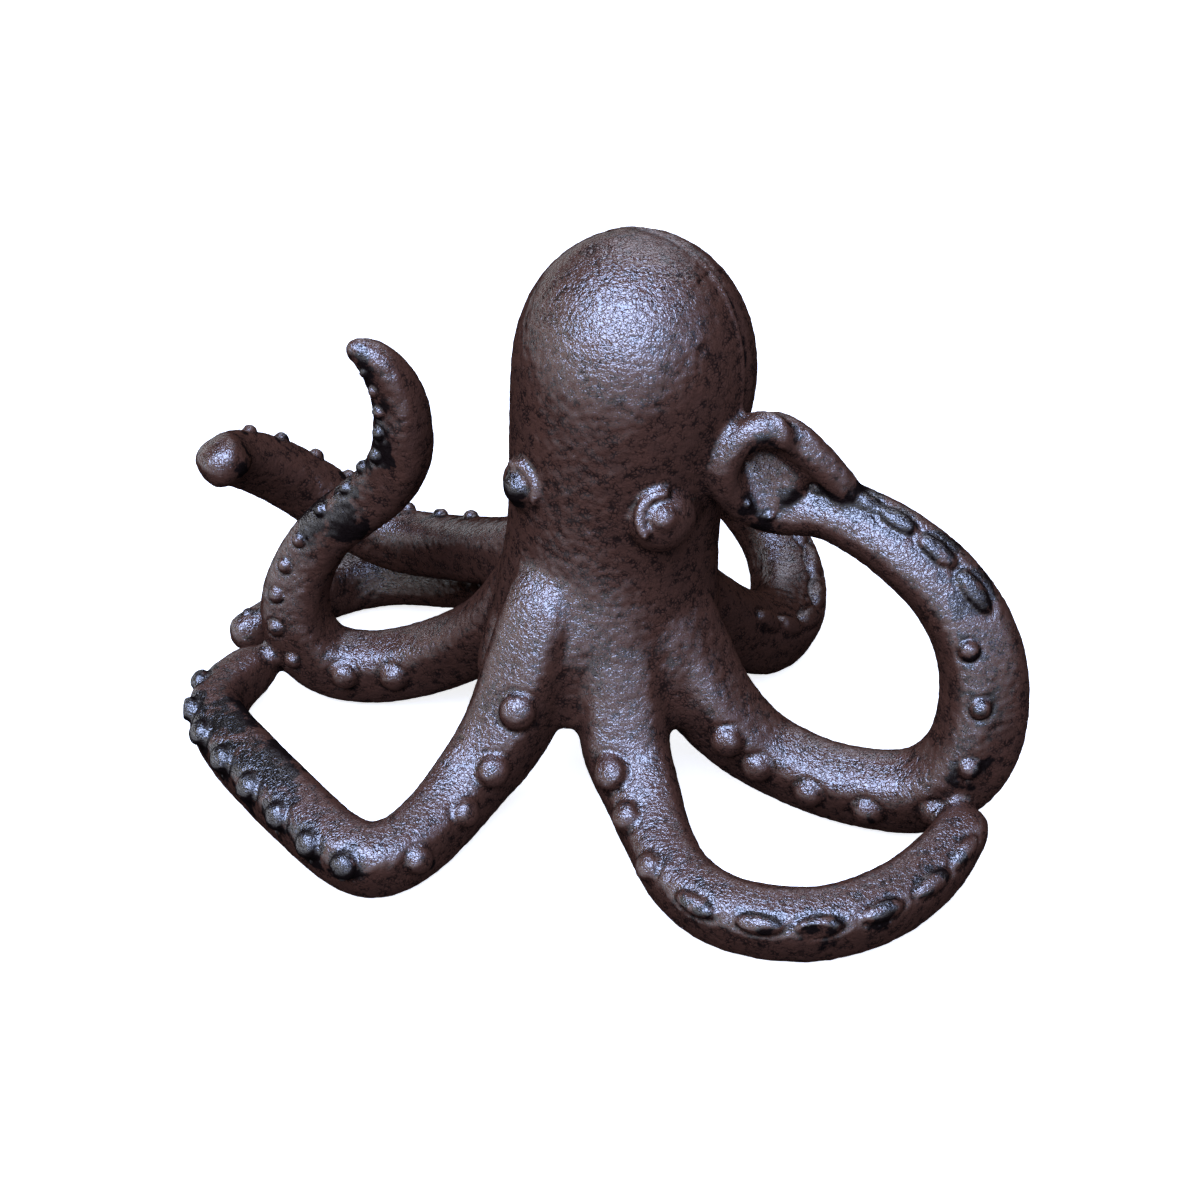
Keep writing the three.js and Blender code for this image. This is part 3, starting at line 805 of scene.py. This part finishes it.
class Skin:
    """The figure's whole skin, fused from its forms and then sawn into castings."""

    def __init__(self, arms: tuple[Arm, ...], head: Head) -> None:
        """Remember the arms and the head, and lay points along every arm for measuring."""
        self.arms = arms
        self.head = head
        samples = [
            (number, index / SAMPLES_PER_SPAN)
            for number, arm in enumerate(arms)
            for index in range(arm.last * SAMPLES_PER_SPAN + 1)
        ]
        sections = [arms[number].frame_at(station) for number, station in samples]
        self.middles = np.array([section.middle for section in sections])
        self.halves = np.array([section.half for section in sections])
        self.owners = np.array([number for number, _ in samples])
        self.stations = np.array([station for _, station in samples])
        self.skin: Object | None = None

    def fuse(self, name: str, parts: list[Object], voxel: float, passes: int) -> Object:
        """Join forms that run into each other, grow one skin over them and soften it.

        Args:
            name: Name of the result.
            parts: The forms.
            voxel: Size of the skin's faces in millimetres.
            passes: Smoothing passes.

        Returns:
            The fused skin.
        """
        piece = joined(name, parts)
        grown = piece.modifiers.new("one skin", "REMESH")
        grown.mode = "VOXEL"
        grown.voxel_size = voxel * MM
        grown.use_smooth_shade = True
        eased = piece.modifiers.new("fillets", "SMOOTH")
        eased.factor = 0.5
        eased.iterations = passes
        apply_modifiers(piece)
        return piece

    def nearest(self, points: np.ndarray) -> tuple[np.ndarray, np.ndarray, np.ndarray]:
        """Find the arm section nearest to each point, by distance over the section's half height.

        Args:
            points: Rows of x, y, z in metres.

        Returns:
            The arm's number, the station, and the distance over the half height.
        """
        # The squared distance is written as one matrix product, which is much faster than differences.
        middles = self.middles / MM
        per_half = 1.0 / (self.halves / MM) ** 2
        terms = np.vstack((-2.0 * middles.T * per_half, per_half, (middles ** 2).sum(axis=1) * per_half))
        owner = np.empty(len(points), dtype=int)
        station = np.empty(len(points))
        share = np.empty(len(points))
        chunk = 20000
        for start in range(0, len(points), chunk):
            part = points[start:start + chunk] / MM
            length = (part ** 2).sum(axis=1)
            squared = np.column_stack((part, length, np.ones(len(part)))) @ terms
            best = squared.argmin(axis=1)
            owner[start:start + chunk] = self.owners[best]
            station[start:start + chunk] = self.stations[best]
            share[start:start + chunk] = np.sqrt(np.maximum(squared[np.arange(len(part)), best], 0.0))
        return owner, station, share

    def press_grooves(self, suckers: list[Sucker]) -> None:
        """Press a shallow ring round every sucker."""
        places = coordinates(self.skin)
        offset = np.zeros_like(places)
        for sucker in suckers:
            centre, facing, forward = (np.array(v) for v in (sucker.centre, sucker.facing, sucker.forward))
            near = np.flatnonzero(np.linalg.norm(places - centre, axis=1) < sucker.half)
            from_centre = places[near] - centre
            height = from_centre @ facing
            flat = from_centre - height[:, None] * facing
            radius, _, length = sucker.form.value
            flat += np.outer(flat @ forward * (radius / length - 1.0), forward)
            ring = np.linalg.norm(flat, axis=1) / sucker.radius
            depth = np.exp(-((ring - GROOVE_RING) / GROOVE_WIDTH) ** 2) * GROOVE_DEPTH * MM
            depth *= np.abs(height) < sucker.radius
            offset[near] -= depth[:, None] * facing
        move_vertices(self.skin, places + offset)

    def add_grain(self) -> None:
        """Give the skin the orange-peel grain that the sand mould leaves."""
        for name, kind, size, strength in SAND:
            texture = bpy.data.textures.new(name, kind)
            texture.noise_scale = size * MM
            grain = self.skin.modifiers.new(name, "DISPLACE")
            grain.texture = texture
            grain.texture_coords = "LOCAL"
            grain.strength = strength * MM
            grain.mid_level = 0.5
        apply_modifiers(self.skin)

    def stay_in_frame(self) -> None:
        """Flatten what stands on the table and keep the grain inside the frame's box."""
        places = coordinates(self.skin)
        low, high = np.array(CAD_BOX[0]), np.array(CAD_BOX[1])
        move_vertices(self.skin, np.clip(places, low, high))

    def hollows(self, places: np.ndarray) -> np.ndarray:
        """Return how far each vertex lies below the middle of its neighbours, in millimetres, softened."""
        edges = np.empty(len(self.skin.data.edges) * 2, dtype=int)
        self.skin.data.edges.foreach_get("vertices", edges)
        first, second = edges.reshape(-1, 2).T
        count = np.maximum(np.bincount(edges, minlength=len(places)), 1)

        def mean_of_neighbours(values: np.ndarray) -> np.ndarray:
            """Return the mean of a value over each vertex's neighbours."""
            total = np.bincount(first, weights=values[second], minlength=len(places))
            total += np.bincount(second, weights=values[first], minlength=len(places))
            return total / count

        middle = np.column_stack([mean_of_neighbours(places[:, axis]) for axis in range(3)])
        hollow = ((middle - places) * normals(self.skin)).sum(axis=1) / MM
        for _ in range(2):
            hollow = (hollow + mean_of_neighbours(hollow)) / 2
        return hollow

    def wear_and_shade_places(self, places: np.ndarray, suckers: list[Sucker]) -> np.ndarray:
        """Return how dark each vertex is painted, from 0 to 1: worn lacquer, and painted shade behind the
        parting line and in the right arm's curl.
        """
        spots = [(sucker.centre, sucker.half, sucker.wear, SUCKER_RUB) for sucker in suckers]
        spots += [(place(x, y, z), radius * MM, wear, SPOT_EDGE) for x, y, z, radius, wear in WORN_AND_SHADED_SPOTS]
        # Painted shade behind the parting line, then wear round the suckers and at the spots, two of which
        # are painted shade.
        wear_and_shade = self.head.parting_shade(places)
        for centre, radius, wear, edge in spots:
            distance = np.linalg.norm(places - np.array(centre), axis=1) / radius
            wear_and_shade = np.maximum(wear_and_shade, (1.0 - smooth_step(distance, *edge)) * wear)
        return wear_and_shade

    def measure(self, suckers: list[Sucker]) -> None:
        """Store what the paint follows: hollows, wear with painted shade, and how far each face turns to the
        light.
        """
        places = coordinates(self.skin)
        facing = normals(self.skin) @ np.array(Vector(LIT_FROM).normalized())
        # Painted shade: how far each face turns to the light decides how dark and matt it is painted.
        self.store("facing_light", smooth_step(facing, *LIT_BETWEEN))
        self.store("hollow", self.hollows(places))
        self.store("wear_and_shade", self.wear_and_shade_places(places, suckers))

    def store(self, name: str, values: np.ndarray) -> None:
        """Store one number for each vertex of the skin."""
        layer = self.skin.data.attributes.new(name, "FLOAT", "POINT")
        layer.data.foreach_set("value", values.astype(np.float32))

    def face_centres(self) -> np.ndarray:
        """Return the middle of each face of the skin."""
        return rows(self.skin.data.polygons, "center")

    def select_faces(self, chosen: np.ndarray) -> None:
        """Select these faces and no others, ready for edit mode."""
        mesh = self.skin.data
        mesh.vertices.foreach_set("select", np.zeros(len(mesh.vertices), dtype=bool))
        mesh.edges.foreach_set("select", np.zeros(len(mesh.edges), dtype=bool))
        mesh.polygons.foreach_set("select", chosen)
        choose(self.skin)
        bpy.ops.object.mode_set(mode="EDIT")
        bpy.ops.mesh.select_mode(type="FACE")

    def label_faces(self, name: str, numbers: np.ndarray) -> None:
        """Write a whole number on each face, which cutting passes on to the new faces."""
        layer = self.skin.data.attributes.new(name, "INT", "FACE")
        layer.data.foreach_set("value", numbers.astype(np.int32))

    def faces_labelled(self, name: str, number: int) -> np.ndarray:
        """Return which faces carry this number."""
        values = np.empty(len(self.skin.data.polygons), dtype=np.int32)
        self.skin.data.attributes[name].data.foreach_get("value", values)
        return values == number

    def saw_at_joints(self) -> None:
        """Cut the skin's faces along the joint plane of every arm."""
        owner, station, share = self.nearest(self.face_centres())
        joints = np.array([arm.joint for arm in self.arms])
        near_joint = (np.abs(station - joints[owner]) < NEAR_JOINT) & (share < OWN_SKIN)
        self.label_faces("near_joint", np.where(near_joint, owner, -1))
        for number, arm in enumerate(self.arms):
            section = arm.frame_at(arm.joint)
            self.select_faces(self.faces_labelled("near_joint", number))
            bpy.ops.mesh.bisect(plane_co=section.middle, plane_no=section.forward)
            bpy.ops.object.mode_set(mode="OBJECT")

    def casting_of_face(self) -> np.ndarray:
        """Return the number of the arm that each face belongs to, or -1 for the body."""
        centres = self.face_centres()
        owner, station, share = self.nearest(centres)
        result = np.full(len(centres), -1)
        for number, arm in enumerate(self.arms):
            section = arm.frame_at(arm.joint)
            mine = owner == number
            near = np.abs(station - arm.joint) < NEAR_JOINT
            past_plane = (centres - np.array(section.middle)) @ np.array(section.forward) > 0
            result[mine & np.where(near, past_plane, station > arm.joint)] = number
        return result

    def split(self) -> dict[str, Object]:
        """Saw the skin into one closed piece for each casting, named by the node that it stands for."""
        self.saw_at_joints()
        self.label_faces("casting", self.casting_of_face())
        pieces = {}
        for number, arm in enumerate(self.arms):
            self.select_faces(self.faces_labelled("casting", number))
            bpy.ops.mesh.separate(type="SELECTED")
            bpy.ops.object.mode_set(mode="OBJECT")
            pieces[arm.node] = next(o for o in bpy.context.selected_objects if o is not self.skin)
        pieces[self.head.node] = self.skin
        for node, piece in pieces.items():
            self.close(piece)
            piece.name = f"{node}_casting"
            piece.data.name = piece.name
        return pieces

    def close(self, piece: Object) -> None:
        """Fill the sawn faces and shade the skin smooth with crisp edges round them."""
        choose(piece)
        bpy.ops.object.mode_set(mode="EDIT")
        bpy.ops.mesh.select_mode(type="EDGE")
        bpy.ops.mesh.select_all(action="DESELECT")
        bpy.ops.mesh.select_non_manifold()
        bpy.ops.mesh.fill_holes(sides=0)
        turn_faces_outwards()
        bpy.ops.object.shade_smooth_by_angle(angle=CRISP_ANGLE)


def add_node(tree: NodeTree, kind: str, links: dict | None = None, **settings: object) -> Node:
    """Add one node to a material.

    Args:
        tree: The material's node tree.
        kind: The node's type name.
        links: Input name or number to an output socket that feeds it, or to the value it keeps.
        settings: The node's own properties.

    Returns:
        The new node.
    """
    node = tree.nodes.new(kind)
    for name, value in settings.items():
        setattr(node, name, value)
    for name, value in (links or {}).items():
        socket = node.inputs[name]
        if isinstance(value, NodeSocket):
            tree.links.new(value, socket)
        else:
            socket.default_value = value
    return node


def new_material(name: str) -> Material:
    """Return a material without nodes."""
    material = bpy.data.materials.new(name)
    material.use_nodes = True
    material.node_tree.nodes.clear()
    return material


def mix(
    tree: NodeTree, share: NodeSocket, first: NodeSocket | Colour, second: NodeSocket | Colour
) -> NodeSocket:
    """Mix two colours, or sockets that carry colours, and return the socket of the result."""
    return add_node(tree, "ShaderNodeMix", {0: share, 6: first, 7: second}, data_type="RGBA").outputs[2]


@dataclass(frozen=True)
class PaintedCastIron:
    """Rust-brown lacquer over black primer on sand-cast iron.

    The eye sees warm brown with dark primer in the pits of the grain, black shine where hands rub the
    suckers, and cool soft reflections of the lights in the lacquer. Painted shade is laid on too: darker
    lines in the grain's grooves and hollows, primer and less gloss on faces turned away from the light, and
    dark patches behind the parting line and in the right arm's curl. The edges are the values of a noise, or
    of the depth into a dark line, between which one look turns into the other.
    """

    name: str = "rust brown lacquered cast iron"
    brown: str = "#452f26"
    warm_brown: str = "#5f3d2e"
    # Black primer, also the colour of all painted shade.
    primer_and_shade: str = "#120e0d"
    drift: float = 3.0  # mm across a patch of warmer brown
    grain: float = 0.62  # mm between sand grains
    bend: float = 0.9  # mm by which the lines between grains wander
    relief: float = 0.23  # mm from the lowest to the highest place of the wavy lacquer
    line: float = 0.26  # half width of the dark line between two grains, over their distance
    line_noise: float = 1.8  # mm across a stretch of broken line
    line_widens: tuple[float, float] = (0.42, 0.68)
    line_edge: tuple[float, float] = (-0.04, 0.12)
    line_darkness: float = 0.8  # share of primer in a line, partly painted shade
    groove_edge: tuple[float, float] = (-0.14, 0.08)
    groove_depth: float = 0.22  # over the relief
    flake_noise: float = 3.2  # mm across a flake of worn lacquer and of painted shade
    flake_edge: tuple[float, float] = (0.68, 0.76)
    flake_darkness: float = 0.95  # share of primer in a flake of wear and of painted shade
    hollow_weight: float = 4.0  # how much sooner lines show for each millimetre of hollow, as painted shade
    wear_and_shade_weight: float = 0.36  # how much sooner flakes show where hands rub and where shade is painted
    roughness: float = 0.25
    coat_roughness: float = 0.11
    ior: float = 1.6
    gloss: float = 0.9  # reflection of full lacquer, at which 0.5 is plain
    turned_away_shade: float = 0.2  # share of primer painted on as shade on faces turned away from the light
    shade_gone_at: float = 0.6  # value of the light-facing mask above which no painted shade is left

    def material(self) -> Material:
        """Build the node material."""
        material = new_material(self.name)
        tree = material.node_tree
        spot = add_node(tree, "ShaderNodeTexCoord").outputs["Object"]
        hollow, wear_and_shade, facing_light = (
            add_node(tree, "ShaderNodeAttribute", attribute_name=name).outputs["Fac"]
            for name in ("hollow", "wear_and_shade", "facing_light")
        )

        def noise(size: float, detail: float, rough: float) -> NodeSocket:
            """Add a noise whose largest spots are `size` millimetres across."""
            links = {"Vector": spot, "Scale": 1 / (size * MM), "Detail": detail, "Roughness": rough}
            return add_node(tree, "ShaderNodeTexNoise", links).outputs["Fac"]

        def ramp(value: NodeSocket, low: float, high: float, start: float, end: float) -> NodeSocket:
            """Map a value between two limits to another range."""
            links = {0: value, 1: low, 2: high, 3: start, 4: end}
            return add_node(tree, "ShaderNodeMapRange", links).outputs[0]

        def maths(operation: str, *values: float | NodeSocket) -> NodeSocket:
            """Combine values."""
            return add_node(tree, "ShaderNodeMath", dict(enumerate(values)), operation=operation).outputs[0]

        # A net of wandering lines between the grains of sand: primer in the grain's pits, and partly painted
        # shade in its grooves.
        wander = add_node(tree, "ShaderNodeTexNoise", {"Vector": spot, "Scale": 1 / MM, "Detail": 2.0})
        links = {0: wander.outputs["Color"], 1: (self.bend * MM,) * 3, 2: spot}
        bent = add_node(tree, "ShaderNodeVectorMath", links, operation="MULTIPLY_ADD").outputs[0]
        net = add_node(
            tree, "ShaderNodeTexVoronoi", {"Vector": bent, "Scale": 1 / (self.grain * MM)},
            feature="DISTANCE_TO_EDGE",
        )

        # The primer shows in those lines, in broken stretches and more of it in hollows, where the lines are
        # partly painted shade; and in flakes of worn lacquer, which also carry the painted shade behind the
        # parting line and in the right arm's curl.
        reach = maths("MULTIPLY_ADD", hollow, self.hollow_weight, noise(self.line_noise, 3, 0.6))
        width = ramp(reach, *self.line_widens, 0.0, self.line)
        line = maths("SUBTRACT", width, net.outputs["Distance"])
        wear_and_shade_flakes = maths("MULTIPLY_ADD", wear_and_shade, self.wear_and_shade_weight, noise(self.flake_noise, 4, 0.6))
        in_line = ramp(line, *self.line_edge, 0.0, self.line_darkness)
        black = maths("MAXIMUM", in_line, ramp(wear_and_shade_flakes, *self.flake_edge, 0.0, self.flake_darkness))
        brown = mix(tree, noise(self.drift, 5, 0.6), linear(self.brown), linear(self.warm_brown))
        colour = mix(tree, black, brown, linear(self.primer_and_shade))
        # Painted shade: faces turned away from the light are darkened towards the primer, and below they lose
        # their gloss.
        painted_shade = ramp(facing_light, 0.0, self.shade_gone_at, self.turned_away_shade, 0.0)
        colour = mix(tree, painted_shade, colour, linear(self.primer_and_shade))

        # The lacquer is wavy like orange peel, with fine grooves along the dark lines.
        groove = ramp(line, *self.groove_edge, 0.0, -self.groove_depth)
        height = maths("ADD", groove, noise(self.grain, 2, 0.55))
        links = {"Height": height, "Strength": 1.0, "Distance": self.relief * MM}
        bump = add_node(tree, "ShaderNodeBump", links).outputs[0]
        # Faces turned away from the light also lose their reflection, as part of the painted shade.
        shader = add_node(
            tree, "ShaderNodeBsdfPrincipled",
            {
                "Base Color": colour, "Roughness": self.roughness, "Normal": bump, "IOR": self.ior,
                "Specular IOR Level": ramp(facing_light, 0.0, 1.0, 0.0, self.gloss), "Coat Weight": facing_light,
                "Coat Roughness": self.coat_roughness, "Coat IOR": self.ior, "Coat Normal": bump,
            },
        )
        add_node(tree, "ShaderNodeOutputMaterial", {"Surface": shader.outputs[0]})
        return material


@dataclass(frozen=True)
class SoftLight:
    """A rectangular light aimed at the figure: metres, watts, sRGB hex, degrees round and above it."""

    name: str
    size: tuple[float, float]
    power: float
    colour: str
    azimuth: float
    elevation: float
    distance: float


LIGHTS = (
    SoftLight("key softbox", (0.68, 0.44), 9.4, "#bed0ff", -26, 57, 0.6),
    SoftLight("front fill", (0.55, 0.4), 1.2, "#bed0ff", 14, 16, 0.9),
    SoftLight("right fill", (0.5, 0.5), 1.6, "#bed0ff", 66, 28, 0.9),
    SoftLight("left fill", (0.5, 0.5), 0.6, "#fff2e0", -80, 20, 0.9),
    SoftLight("back fill", (0.9, 0.6), 3.2, "#e6ebff", 165, 38, 1.0),
)


@dataclass
class Studio:
    """White floor, one large soft light above the camera with weak fills, and the photograph's camera.

    The target is in millimetres, like the figure. Distances and the floor's size are in metres.
    """

    target: Place = (0.0, 0.0, 34.0)
    camera_elevation: float = 33.0
    camera_distance: float = 0.4
    lens: float = 76.8  # mm, on a sensor 36 mm wide
    floor_size: float = 6.0
    floor_drop: float = 0.02 * MM  # keeps the flats under the arms clear of the floor
    floor_lit: str = "#7c7c7c"  # the floor as the figure is lit by it
    floor_seen: str = "#fafafa"  # the floor as the camera sees it
    floor_glow: float = 0.82  # white added for the camera and in reflections, which leaves the shadow soft
    world_colour: str = "#b9bfc4"
    world_strength: float = 0.06

    def aim(self, item: Object, azimuth: float, elevation: float, distance: float) -> None:
        """Link a light or camera to the scene, place it round the target and point it there.

        Args:
            item: The light or camera.
            azimuth: Degrees from straight in front, positive to the right.
            elevation: Degrees above the table.
            distance: Distance from the target in metres.
        """
        turn, lift = math.radians(azimuth), math.radians(elevation)
        away = Vector((math.sin(turn) * math.cos(lift), -math.cos(turn) * math.cos(lift), math.sin(lift)))
        bpy.context.collection.objects.link(item)
        item.location = place(*self.target) + away * distance
        item.rotation_euler = (-away).to_track_quat("-Z", "Y").to_euler()

    def hang(self, light: SoftLight) -> None:
        """Hang one soft light."""
        lamp = bpy.data.lights.new(light.name, "AREA")
        lamp.shape = "RECTANGLE"
        lamp.size, lamp.size_y = light.size
        lamp.energy = light.power
        lamp.color = linear(light.colour)[:3]
        self.aim(bpy.data.objects.new(light.name, lamp), light.azimuth, light.elevation, light.distance)

    def build(self) -> None:
        """Set up the floor, the lights, the world and the camera."""
        deselect_all()
        bpy.ops.mesh.primitive_plane_add(size=self.floor_size, location=(0, 0, -self.floor_drop))
        floor = bpy.context.active_object
        floor.name = "floor"
        floor.data.materials.append(self.floor_material())

        for light in LIGHTS:
            self.hang(light)

        world = bpy.data.worlds.new("studio")
        world.use_nodes = True
        background = world.node_tree.nodes["Background"]
        background.inputs["Color"].default_value = linear(self.world_colour)
        background.inputs["Strength"].default_value = self.world_strength
        bpy.context.scene.world = world

        camera = bpy.data.cameras.new("camera")
        camera.lens = self.lens
        camera.sensor_width = 36.0
        camera.clip_start = 0.01
        eye = bpy.data.objects.new("camera", camera)
        self.aim(eye, 0.0, self.camera_elevation, self.camera_distance)
        bpy.context.scene.camera = eye
        bpy.context.scene.view_settings.view_transform = "Standard"

    def floor_material(self) -> Material:
        """Make a pale matt floor that the camera sees as white, with the figure's shadow on it."""
        material = new_material("matt white paper")
        tree = material.node_tree
        path = add_node(tree, "ShaderNodeLightPath").outputs
        tone = mix(tree, path["Is Camera Ray"], linear(self.floor_lit), linear(self.floor_seen))
        seen = path["Is Camera Ray"]
        for ray in ("Is Glossy Ray", "Is Transmission Ray"):
            seen = add_node(tree, "ShaderNodeMath", {0: seen, 1: path[ray]}, operation="MAXIMUM").outputs[0]
        glow = add_node(tree, "ShaderNodeMath", {0: seen, 1: self.floor_glow}, operation="MULTIPLY")
        paper = add_node(tree, "ShaderNodeBsdfDiffuse", {"Color": tone})
        white = add_node(tree, "ShaderNodeEmission", {"Color": (1, 1, 1, 1), "Strength": glow.outputs[0]})
        both = add_node(tree, "ShaderNodeAddShader", {0: paper.outputs[0], 1: white.outputs[0]})
        add_node(tree, "ShaderNodeOutputMaterial", {"Surface": both.outputs[0]})
        return material


def build_figure() -> dict[str, Object]:
    """Model the whole figure and saw it into castings, named by the nodes that they stand for."""
    head = Head()
    skin = Skin(ARMS, head)
    forms = [head.build()] + [arm.build() for arm in ARMS] + [web.build() for web in SKIRT_WEBS]
    forms.append(CurlWeb().build())
    LOG.info("forms built")
    base = skin.fuse("base", forms, FIRST_VOXEL, FILLET_PASSES)
    copies, suckers = build_suckers(ARMS)
    details = head.build_eyes() + [Weld().build()]
    skin.skin = skin.fuse("skin", [base] + details + copies, SKIN_VOXEL, SOFTENING_PASSES)
    LOG.info("skin has %d faces", len(skin.skin.data.polygons))
    head.press_parting_line(skin.skin)
    skin.press_grooves(suckers)
    skin.add_grain()
    skin.stay_in_frame()
    skin.measure(suckers)
    return skin.split()


def main() -> None:
    """Build the figure, dress it and set up the studio."""
    logging.basicConfig(level=logging.INFO, format="%(message)s")
    pieces = build_figure()
    paint = PaintedCastIron().material()
    for node, piece in pieces.items():
        piece.data.materials.clear()
        piece.data.materials.append(paint)
        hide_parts(node)
        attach(piece, "root")
        LOG.info("%s: %d faces", piece.name, len(piece.data.polygons))
    Studio().build()


if __name__ == "__main__":
    main()
